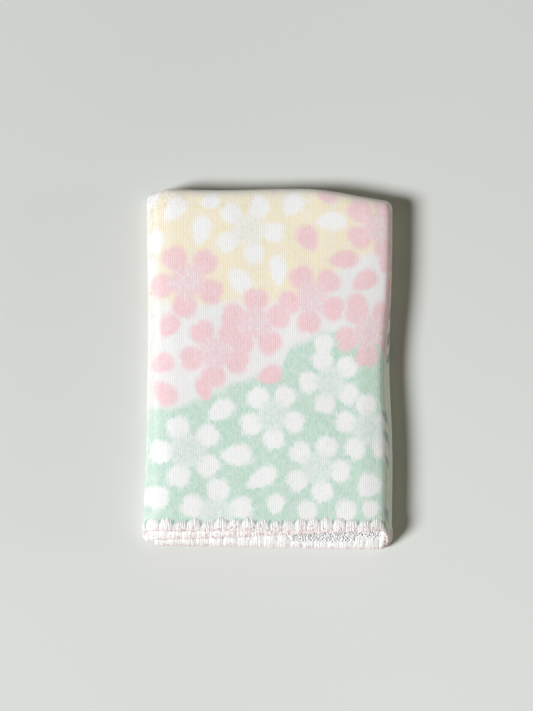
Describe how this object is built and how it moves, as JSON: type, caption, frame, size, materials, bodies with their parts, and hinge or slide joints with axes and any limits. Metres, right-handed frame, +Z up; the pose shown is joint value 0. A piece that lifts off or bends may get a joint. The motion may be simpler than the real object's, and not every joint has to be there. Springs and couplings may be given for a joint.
{
  "type": "folded handkerchief",
  "caption": "Soft gauze and pile handkerchief with a shell-stitched hem, folded in thirds and then in half into a flat packet.",
  "frame": {"origin": "middle of the packet's underside, on the surface that it lies on", "axes": "+Y points to the rounded half fold and along the packet's length, +X to the right side that wraps the last third, +Z up through the layers"},
  "size_m": [0.1006, 0.1452, 0.0128],
  "materials": {
    "cloth": "matte",
    "thread": "matte"
  },
  "bodies": {
    "root": {"handkerchief": "cloth"}
  },
  "joints": []
}
